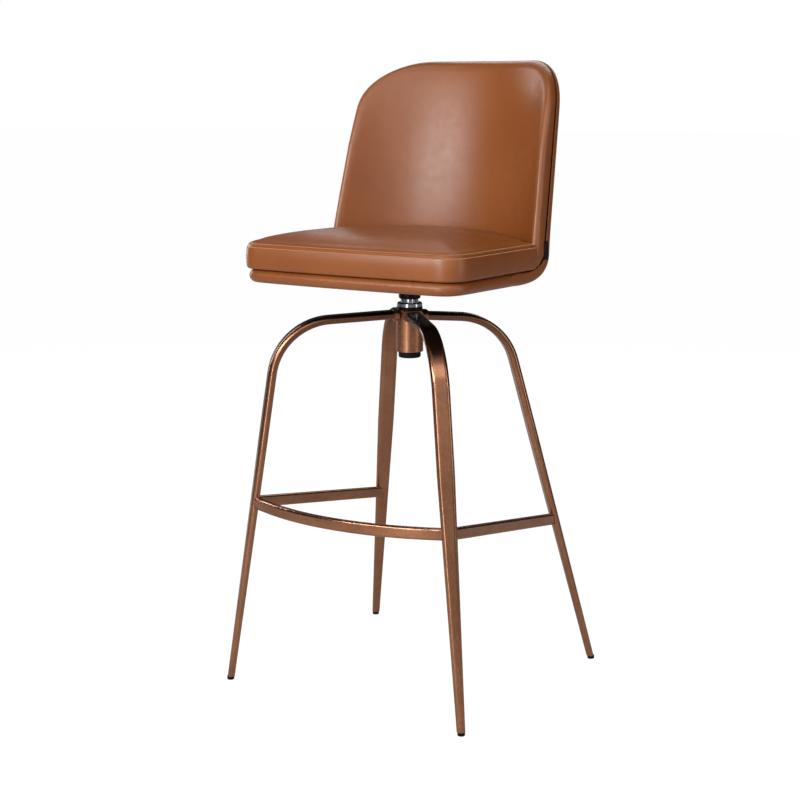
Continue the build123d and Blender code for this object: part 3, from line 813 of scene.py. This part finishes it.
PAN_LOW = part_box("pan_upholstery")[0] / MM
PAN_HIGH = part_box("pan_upholstery")[1] / MM
BACK_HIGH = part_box("back_outer_panel")[1] / MM
HALF = PAN_HIGH.x
FRONT = PAN_LOW.y - AXIS_Y / MM
FRONT_HALF = 214.5
FRONT_BOW = 7.0
FRONT_CORNER = 38
TOP_CORNER = (94, 82)
PAN_BOTTOM = PAN_LOW.z
PAN_TOP = PAN_HIGH.z
BACK_TOP = BACK_HIGH.z
ARC_Y = -40.5
OUTER = 262.0
SEAM = 253.0
INNER = 226.0
BEND = 44.0
LEAN_START = 770.0
LEAN = 0.16
SIDE_LEAN = 0.24
SIDE_Y = 95.0
TAPER = 0.061
TURN = 100.0                    # along the shell, where its bend starts
STRETCH = BEND * math.pi / 2
ROOT = OUTER - BEND
CLOTH_RECESS = 3.0              # the dust cover lies this deep in the pan's underside


def soft_plus(v, k):
    v = np.asarray(v, float)
    return np.where(v / k > 30, v, k * np.log1p(np.exp(np.minimum(v / k, 30))))


def leaning(z):
    return soft_plus(np.asarray(z) - LEAN_START, 14.0)


def soft_max(a, b, k):
    return 0.5 * (a + b + np.sqrt((a - b) ** 2 + k * k))


def rounded_polygon(corners, radii, step=1.5):
    """Closed outline through corners, each rounded by an ellipse of (x, y) radii, or left sharp."""
    out = []
    count = len(corners)
    for k in range(count):
        here = np.array(corners[k], float)
        if not radii[k]:
            out.append(here)
            continue
        before = np.array(corners[k - 1], float) - here
        after = np.array(corners[(k + 1) % count], float) - here
        before /= np.linalg.norm(before)
        after /= np.linalg.norm(after)
        ra, rb = radii[k]
        a = here + before * (ra if abs(before[0]) > abs(before[1]) else rb)
        b = here + after * (ra if abs(after[0]) > abs(after[1]) else rb)
        for t in np.linspace(0, math.pi / 2, 40):
            out.append(here + (a - here) * (1 - math.sin(t)) + (b - here) * (1 - math.cos(t)))
    p = np.array(out)
    length = np.linalg.norm(np.diff(np.vstack([p, p[:1]]), axis=0), axis=1).sum()
    return resample(p, int(length / step))


def to_frame(x, y, z):
    return np.column_stack([x, y + AXIS_Y / MM, z]) * MM


def shell_points(plan):
    """Outer and inner surface points of the bent shell, for points (across, along)."""
    x, q = plan[:, 0], plan[:, 1]
    bend_y = ARC_Y + np.sqrt(np.maximum(ROOT ** 2 - x ** 2, 1.0))
    share = np.clip((q + TURN) / (2 * TURN), 0, 1)
    flat_y = np.where(q < -TURN, q, -TURN + share * (bend_y + TURN))
    angle = np.clip((q - TURN) / STRETCH, 0, 1) * math.pi / 2
    high = np.maximum(q - TURN - STRETCH, 0)

    def surface(low_reach, high_reach):
        reach = low_reach + (high_reach - low_reach) * angle / (math.pi / 2)
        radius = ROOT + reach * np.sin(angle)
        z = PAN_BOTTOM + BEND - reach * np.cos(angle) + high
        y = ARC_Y + np.sqrt(np.maximum(radius ** 2 - x ** 2, 1.0)) + LEAN * leaning(z)
        y = np.where(q < TURN, flat_y, y - LEAN * leaning(PAN_BOTTOM) * (angle < 1.5))
        return np.column_stack([x, y, z])

    return surface(BEND, BEND), surface(BEND - (PAN_TOP - PAN_BOTTOM), SEAM - ROOT)


def half_width(z):
    return HALF - TAPER * np.maximum(np.asarray(z) - LEAN_START, 0)


def make_shell(hide):
    """Bent shell in one hide: pan with a round edge, the bend, and the outside of the back."""
    n = 104
    end = TURN + STRETCH + BACK_TOP - PAN_BOTTOM - BEND
    taper_at = TURN + STRETCH + LEAN_START - PAN_BOTTOM - BEND
    top_half = float(half_width(BACK_TOP))
    across = np.linspace(-FRONT_HALF, FRONT_HALF, 21)[1:-1]
    bow = [(x, FRONT + FRONT_BOW * (x / FRONT_HALF) ** 2) for x in across]
    bow = [spot for spot in bow if abs(spot[0]) < FRONT_HALF - FRONT_CORNER - 2]
    corners = [(-FRONT_HALF, FRONT + FRONT_BOW), *bow, (FRONT_HALF, FRONT + FRONT_BOW)]
    radii = [(FRONT_CORNER, FRONT_CORNER)] + [None] * len(bow) + [(FRONT_CORNER, FRONT_CORNER)]
    corners += [(HALF - 1.6, -110), (HALF, 0), (HALF, taper_at), (top_half, end), (-top_half, end)]
    radii += [None, None, None, TOP_CORNER, TOP_CORNER]
    corners += [(-HALF, taper_at), (-HALF, 0), (-HALF + 1.6, -110)]
    radii += [None, None, None]
    outline = soften(rounded_polygon(corners, radii), 3.0)
    marks = [(-FRONT_HALF + 11, FRONT + 16), (FRONT_HALF - 11, FRONT + 16),
             (top_half - 30, end - 26), (-top_half + 30, end - 26)]
    outline = four_sides(outline, marks, n)
    plan = grid_in(outline, n, 0.8)
    d = distance_to(outline, plan)
    outer, inner = shell_points(plan)
    thick = np.linalg.norm(inner - outer, axis=1)
    on_back = np.clip((plan[:, 1] - 40) / 90, 0, 1)
    on_back = on_back * on_back * (3 - 2 * on_back)
    outer_round = 0.5 * thick * (1 - on_back) + 6.5 * on_back
    inner_round = 0.47 * thick * (1 - on_back) + 2.2 * on_back

    def drawn(r):
        left = np.clip(r - d, 0, r)
        return r - np.sqrt(np.maximum(r * r - left * left, 0))

    through = (inner - outer) / thick[:, None]
    outside = outer + through * drawn(outer_round)[:, None]
    inside = inner - through * (drawn(inner_round) + 0.4 * on_back)[:, None]
    under_cloth = np.clip((d - 12) / 4, 0, 1) * np.clip((TURN + 2 - plan[:, 1]) / 5, 0, 1)
    outside[:, 2] += CLOTH_RECESS * under_cloth
    rim = rim_indices(n)
    band = [to_frame(*(inside[rim] * (1 - t) + outside[rim] * t).T) for t in (0.25, 0.5, 0.75)]
    obj = closed_pad(
        "shell_cover", n, to_frame(*inside.T), to_frame(*outside.T), band, hide)[0]
    sub = obj.modifiers.new("finer", "SUBSURF")
    sub.levels = sub.render_levels = 1
    apply_modifiers(obj)
    return obj


# ------------------------------------------------------------------ padded front of the back

def pad_front(x, z):
    """How far back the pad's front face lies at a place of the front view."""
    arc = ARC_Y + LEAN * leaning(z) + np.sqrt(np.maximum(INNER ** 2 - x ** 2, 1.0))
    near_top = np.clip((z - (BACK_TOP - 150)) / 150, 0, 1)
    side = ARC_Y + SIDE_Y + SIDE_LEAN * leaning(z) + 14 * near_top ** 2.5
    crown = 9.0 * np.maximum(1 - ((z - 905) / 190) ** 2, 0) * np.maximum(1 - (x / 215) ** 2, 0)
    return soft_max(arc, side, 16.0 + 18.0 * near_top) - 1.0 - crown


def seam_back(x, z):
    """The shell's inside surface behind the pad."""
    low = PAN_BOTTOM + BEND
    reach_low = BEND - (PAN_TOP - PAN_BOTTOM)
    angle = np.arccos(np.clip((low - z) / reach_low, 0, 1))
    reach = reach_low + (SEAM - ROOT - reach_low) * angle / (math.pi / 2)
    radius = np.where(z >= low, SEAM, ROOT + reach * np.sin(angle))
    return ARC_Y + LEAN * leaning(z) + np.sqrt(np.maximum(radius ** 2 - x ** 2, 1.0))


def make_back_pad(hide):
    n = 100
    bottom = PAN_TOP + 2.0
    top = BACK_TOP - 0.6
    half = HALF - 0.7
    top_half = float(half_width(BACK_TOP)) - 0.5
    corners = [(-half, bottom), (half, bottom), (half, LEAN_START)]
    corners += [(top_half, top), (-top_half, top), (-half, LEAN_START)]
    radii = [None, None, None, TOP_CORNER, TOP_CORNER, None]
    outline = soften(rounded_polygon(corners, radii), 2.0)
    marks = [(-half, bottom), (half, bottom), (top_half - 30, top - 26), (-top_half + 30, top - 26)]
    outline = four_sides(outline, marks, n)
    plan = grid_in(outline, n, 0.8)
    x, z = plan[:, 0], plan[:, 1]
    d = distance_to(outline, plan)
    front = pad_front(x, z)
    back = np.maximum(seam_back(x, z) - 0.8, front + 14)
    roll = 17.0
    left = np.clip(roll - d, 0, roll)
    face = front + roll - np.sqrt(np.maximum(roll ** 2 - left ** 2, 0))
    rim = rim_indices(n)
    centre = outline.mean(0)
    ahead = np.roll(outline, -1, 0) - np.roll(outline, 1, 0)
    normal = np.stack([ahead[:, 1], -ahead[:, 0]], 1)
    normal /= np.linalg.norm(normal, axis=1)[:, None]
    normal *= np.sign((normal * (outline - centre)).sum(1))[:, None]
    band = []
    for share, outward in ((0.2, 0.35), (0.45, 0.6), (0.7, 0.4), (0.86, -0.3), (0.95, -1.3)):
        edge = outline + normal * outward
        y = face[rim] * (1 - share) + back[rim] * share
        band.append(to_frame(edge[:, 0], y, edge[:, 1]))
    inset = grid_in(outline - normal * 2.2, n, 0.8)
    obj, loops, count = closed_pad("back_pad_cover", n, to_frame(x, face, z),
                                   to_frame(inset[:, 0], back, inset[:, 1]), band, hide)
    total = len(obj.data.vertices)
    hold = np.zeros(total)
    hold[total - count:] = 1.0
    for loop in loops[-3:]:
        hold[loop] = 1.0
    low = points_of(obj.data)[:, 2] / MM
    hold = np.maximum(hold, np.clip((bottom + 60 - low) / 30, 0, 1))
    swell(obj, 3.0, 0.0022, hold, 220)
    sub = obj.modifiers.new("finer", "SUBSURF")
    sub.levels = sub.render_levels = 1
    apply_modifiers(obj)
    return obj


# ------------------------------------------------------------------ small sewn and stapled things

FOLD_FROM = 0.72                # share of the tag's width where it starts to close to its fold


def make_tag(cloth):
    """Blank ribbon folded over and caught in the side seam."""
    low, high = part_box("side_tag")
    wide, tall, thick = high.y - low.y, high.z - low.z, 0.0006
    across, up = 14, 22
    vertices, faces = [], []
    for layer in (0, 1):
        for i in range(up + 1):
            for j in range(across + 1):
                v, u = i / up, j / across
                fold = math.sqrt(1 - (max(u - FOLD_FROM, 0) / (1 - FOLD_FROM)) ** 2)
                curl = 0.0008 * u * u + 0.0003 * math.sin(v * 5.0) * u
                off = low.x - 0.0003 + curl + (thick * (1.1 + 0.9 * fold) if layer else 0.0)
                rise = tall * v + 0.0004 * math.sin(u * 3.0)
                vertices.append((off, low.y - 0.0005 + wide * u, low.z + rise))
    row = across + 1
    base = (up + 1) * row
    for i in range(up):
        for j in range(across):
            a = i * row + j
            faces.append((a, a + 1, a + row + 1, a + row))
            faces.append((base + a, base + a + row, base + a + row + 1, base + a + 1))
    edge = [j for j in range(row)] + [i * row + across for i in range(1, up + 1)]
    edge += [up * row + j for j in range(across - 1, -1, -1)] + [i * row for i in range(up - 1, 0, -1)]
    for a, b in zip(edge, edge[1:] + edge[:1]):
        faces.append((a, a + base, b + base, b))
    return add_object("blank_tag", vertices, faces, cloth)


STAPLE_FORM = (
    (-0.5, -0.0008), (-0.47, 0.0002), (-0.4, 0.0004), (0, 0.00045),
    (0.4, 0.0004), (0.47, 0.0002), (0.5, -0.0008))


def make_staples(metal):
    """Staples that hold the dust cover to the board, a little uneven as by hand."""
    low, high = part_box("dust_cover")
    outline = resample(section_loop("dust_cover", (low.z + high.z) / 2), 1200)
    centre = outline.mean(0)
    vertices, faces = [], []
    count = 46
    for k in range(count):
        i = int((k + 0.5 + RNG.uniform(-0.12, 0.12)) * 1200 / count) % 1200
        here, ahead = outline[i], outline[(i + 4) % 1200] - outline[i]
        ahead /= np.linalg.norm(ahead)
        inward = np.array([-ahead[1], ahead[0]])
        inward *= np.sign(inward @ (centre - here))
        turn = RNG.uniform(-0.25, 0.25)
        along = ahead * math.cos(turn) + inward * math.sin(turn)
        mid = here + inward * (0.009 + RNG.uniform(-0.001, 0.001))
        path = []
        for share, drop in STAPLE_FORM:
            spot = mid + along * share * 0.0098
            path.append((spot[0], spot[1], low.z - drop))
        v, f = tube_along(path, 0.00042, 6)
        faces += [tuple(len(vertices) + q for q in face) for face in f]
        vertices += v
    return add_object("dust_cover_staples", vertices, faces, metal)


# ------------------------------------------------------------------ build it

make_camera()
make_studio()

hide_back = leather("leather_back", 0.80)
hide_seat = leather("leather_seat", 0.80)
sewing = thread()
bronze_up = bronze("bronze_brushed_up", (900.0, 900.0, 14.0))
bronze_across = bronze("bronze_brushed_across", (14.0, 900.0, 900.0))
bronze_back = bronze("bronze_brushed_back", (900.0, 14.0, 900.0))
give(bronze_up, "leg_front_left", "leg_front_right", "leg_rear_left", "leg_rear_right")
give(bronze("bronze_rubbed", (240.0, 240.0, 170.0), 0.1, 0.16), "hub_barrel")
give(bronze_across, "footrest_front")
give(bronze_back, "footrest_left", "footrest_right")
BLACK = ((0.003, 0.003, 0.003), (0.010, 0.010, 0.011))
black_plastic = dull("black_plastic", *BLACK, 1500.0, 0.0001, 0.38, 0.55, gloss=0.07)
give(black_plastic, "hub_bottom_cap", "foot_glide_front_left", "foot_glide_front_right",
     "foot_glide_rear_left", "foot_glide_rear_right")
nylon = dull("nylon", (0.62, 0.60, 0.55), (0.76, 0.74, 0.69), 900.0, 0.00008, 0.35, 0.5)
give(nylon, "lower_bush", "upper_bush", "ball_cage")
black_steel = dull("black_powder_coat", *BLACK, 1100.0, 0.00015, 0.28, 0.42, gloss=0.12)
give(black_steel, "lower_race", "seat_boss", "seat_plate", "plate_screws")
bright = steel("bright_plated_steel", (0.42, 0.43, 0.45), (0.70, 0.71, 0.73), (60.0, 60.0, 900.0), 0.10, 0.22)
give(bright, "swivel_spindle", "spindle_washer", "retaining_clip", "swivel_flange", "ribbed_neck",
     "bearing_balls")
zinc = steel("zinc_plated_steel", (0.40, 0.41, 0.42), (0.60, 0.61, 0.62), (260.0, 260.0, 260.0), 0.28, 0.45)
give(zinc, "tee_nuts", "back_bracket_left", "back_bracket_right", "bracket_screws")
give(plywood(), "seat_board", "back_board")
give(dust_cloth(), "dust_cover")
ribbon = tape()
give(ribbon, "side_tag")

cushions, rows = make_cushion(hide_seat, sewing)
shell = make_shell(hide_seat)
pad = make_back_pad(hide_back)

for piece, nodes in ((cushions[0], ["seat_cushion"]), (shell, ["pan_upholstery", "back_outer_panel"]),
                     (pad, ["back_front_pad"])):
    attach(piece, "seat")
    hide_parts(*nodes)
tag = make_tag(ribbon)
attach(tag, "seat")
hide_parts("side_tag")
staples = make_staples(zinc)
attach(staples, "seat")
for row in rows:
    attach(row, "seat")
